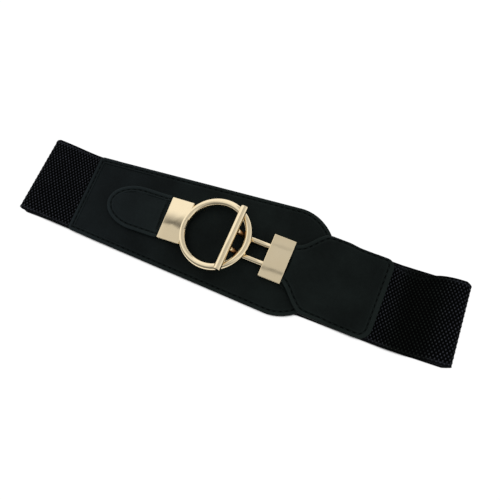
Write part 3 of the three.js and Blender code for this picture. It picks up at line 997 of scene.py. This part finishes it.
def front_low(x):
    """The lower face: in the clip, then down on the base panel and down the step to the webbing."""
    step = ease((x - panel_straight - panel_nose - front_step_start) / front_step_length)
    return lerp(lerp(hook_clip_height - tab_thick / 2, on_panel, front_settle(x)), front_layer, step)


def front_bottom(x):
    over_lap = ease((x - front_reach + lap + clearance + lap_step) / lap_step)
    return np.maximum(front_low(x), lerp(0, lap_ceiling, over_lap))


def front_top(x):
    return front_low(x) + lerp(tab_thick, front_thick, front_settle(x))


def front_side(side, column, corner):
    """The edge from the neck past the shoulder to the middle of the end's corner."""
    along = np.linspace(0, 1, shoulder_steps)
    half = lerp(front_neck_width, front_width, read_rows(shoulder_rows, column, along)) / 2
    shoulder = np.stack([lerp(shoulder_start, front_shoulder, along), front_shift + side * half], 1)
    middle = (front_reach - corner, front_shift + side * (front_width / 2 - corner))
    bend = arc(middle, (corner, corner), side * 90, 0)
    neck = np.array([(seam_start, front_shift + side * front_neck_width / 2)])
    return np.concatenate([neck, shoulder, bend[:half_corner]]), bend[half_corner - 1:]


low_side, low_bend = front_side(-1, 2, front_lower_corner)
high_side, high_bend = front_side(1, 1, front_upper_corner)
neck_end = clip_end - grip_depth
neck_half = grip_width / 2
in_clip = [high_side[0], (neck_end, neck_half), (neck_end, -neck_half), low_side[0]]
across, length = 56, 110
front_edge = outline(in_clip, low_side, np.concatenate([low_bend, high_bend[::-1]]), high_side[::-1],
                     across, length)
drawn = outline([high_side[0], low_side[0]], low_side, np.concatenate([low_bend, high_bend[::-1]]),
                high_side[::-1], across, length)
edge_seam = np.where(drawn[:, 1:] > 0, upper_seam, lower_seam)
side_inset = lerp(shoulder_seam, edge_seam, ease((drawn[:, :1] - front_side_start) / front_side_settle))
end_inset = np.where(drawn[:, :1] > front_end_start, front_end_seam, side_inset)
front_seam = inset(drawn, np.column_stack([end_inset, side_inset]))
on_start = slice(0, across + 1)
front_seam[on_start, 0] = seam_start
front_seam[on_start, 1] = np.linspace(front_shift + neck_half - shoulder_seam,
                                      front_shift - neck_half + shoulder_seam, across + 1)
front_panel = leather_piece("front_panel_leather", front_edge, front_seam, across, length, front_bottom,
                            front_top, -half_turn)
front_panel.data.materials.append(black_leather)
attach(front_panel, "root")
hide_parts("front_panel")
sewn = np.concatenate([front_seam[across:], front_seam[:1]])
stitches("front_panel_stitches", sewn, front_top, -half_turn, closed=False)

# Floor, light and camera: a white table in a room with soft light from all round. The metal mirrors
# the room's window, lamp and darker parts, and the camera looks down as in the photograph.
floor_grey = (0.12, 0.12, 0.12, 1)
floor_rough = 0.9
floor_shine = 0.1
floor_glow = 0.96
glow_from = 0.42
glow_full = 0.64
shade_reach = 0.006
table_side = 6000
table_thick = 10
table = rounded_box("table", (table_side, table_side, table_thick), 0)
table.data.transform(Matrix.Translation((0, 0, -table_thick / 2 * MM)))
white = bpy.data.materials.new("white_table")
white.use_nodes = True
shader = white.node_tree.nodes["Principled BSDF"]
shader.inputs["Base Color"].default_value = floor_grey
shader.inputs["Roughness"].default_value = floor_rough
shader.inputs["Specular IOR Level"].default_value = floor_shine
# The table glows evenly white, with a painted shadow: its glow fades to dark where the belt stands
# close over it.
open_sky = Wire(white.node_tree).node("ShaderNodeAmbientOcclusion", {"samples": 16},
                                      {"Distance": shade_reach}, 1)
glow_with_painted_shadow = open_sky.between(glow_from, glow_full).mixed((0.01, 0.01, 0.01), (1, 1, 1))
white.node_tree.links.new(glow_with_painted_shadow.socket, shader.inputs["Emission Color"])
shader.inputs["Emission Strength"].default_value = floor_glow
table.data.materials.append(white)

# Room: every direction is read as a place on a flat ceiling, p to the right and q to the back. Pairs
# are the places between which a patch of light or shade sets in or ends.
ceiling_grey = 0.59
least_glow = 0.05
lowest_way = 0.05
haze_from = 0.2
haze_full = 0.04
window_glow = 0.42
window_left = (0.22, 0.38)
window_back = (-0.4, 0.0)
front_wall_shade = 0.38
front_wall_front = (0.45, 0.9)
side_glow = 0.4
side_right = (0.55, 0.9)
side_from = (-1.1, -0.6)
side_to = (-0.45, -0.3)
far_right_glow = 0.25
far_right_from = (1.0, 1.6)
far_right_to = (1.2, 1.8)
lamp_glow = 0.22
lamp_place = (0.27, -0.15)
lamp_edge = (0.004, 0.03)
frame_shade = 0.4
frame_place = -0.01
frame_half = 0.06
sill_left = (0.34, 0.4)
sill_left_end = (0.54, 0.64)
sill_from = (0.1, 0.18)
sill_to = (0.246, 0.282)
sill_dark_from = (0.239, 0.2435)
slats_left = (0.04, 0.07)
slats_left_end = (0.2, 0.3)
# Slats: place in q, half of their depth in q and shade
slat_rows = ((0.272, 0.004, 0.13), (0.212, 0.005, 0.3))
slat_edge = 0.003

world = bpy.data.worlds.new("room")
bpy.context.scene.world = world
world.use_nodes = True
background = world.node_tree.nodes["Background"]
background.inputs["Color"].default_value = (1, 1, 1, 1)
sky = Wire(world.node_tree)
way = sky.node("ShaderNodeTexCoord")
split = way.node("ShaderNodeSeparateXYZ", None, {0: way})
right_way, back_way, up_way = (Wire(world.node_tree, s) for s in split.socket.node.outputs)
height = up_way.math("MAXIMUM", lowest_way)
p, q = right_way / height, back_way / height
window = (-p).between(*window_left) * q.between(*window_back)
front_wall = (-q).between(*front_wall_front)
side = p.between(*side_right) * q.between(*side_from) * (1 - q.between(*side_to))
frame_line = 1 - (p - frame_place).math("ABSOLUTE").between(0.0, frame_half)
far_right = p.between(*far_right_from) * (1 - q.between(*far_right_to))
from_lamp = (p - lamp_place[0]).power(2) + (q - lamp_place[1]).power(2)
lamp = 1 - from_lamp.between(*lamp_edge)
sill = (-p).between(*sill_left) * (1 - (-p).between(*sill_left_end))
sill = sill * (1 - q.between(*sill_to)) * q.between(*sill_from)
sill_shade = q.between(*sill_dark_from) * 0.48 + 0.36
slats = 0
for place, half, shade in slat_rows:
    slats = (half - (q - place).math("ABSOLUTE")).between(0, slat_edge) * shade + slats
near_middle = (-p).between(*slats_left) * (1 - (-p).between(*slats_left_end))
lights = window * window_glow + side * side_glow + far_right * far_right_glow + lamp * lamp_glow
shades = front_wall * front_wall_shade + frame_line * frame_shade + sill * sill_shade
glow = lights + ceiling_grey - shades - near_middle * slats
haze = 1 - up_way.between(haze_full, haze_from)
glow = glow.math("MAXIMUM", least_glow) * (1 - haze) + haze
world.node_tree.links.new(glow.socket, background.inputs["Strength"])

# Camera: degrees round the belt, above the table and of roll, as fitted to the photograph
camera_turn, camera_height, camera_roll = (math.radians(v) for v in (35.987, 73.505, -14.94))
camera_distance = 0.36585
camera_lens = 36
target = Vector((12.508, -2.180, 4.9)) * MM
back = Vector((math.sin(camera_turn) * math.cos(camera_height),
               -math.cos(camera_turn) * math.cos(camera_height), math.sin(camera_height)))
level = Vector((math.cos(camera_turn), math.sin(camera_turn), 0))
upright = back.cross(level)
right = math.cos(camera_roll) * level + math.sin(camera_roll) * upright
upward = back.cross(right)
camera = bpy.data.objects.new("camera", bpy.data.cameras.new("camera"))
camera.data.lens, camera.data.sensor_width = camera_lens, camera_lens
camera.matrix_world = Matrix.Translation(target + back * camera_distance) @ Matrix(
    (right, upward, back)).transposed().to_4x4()
bpy.context.collection.objects.link(camera)
bpy.context.scene.camera = camera
bpy.context.scene.view_settings.view_transform = "Standard"
bpy.context.scene.view_settings.look = "None"
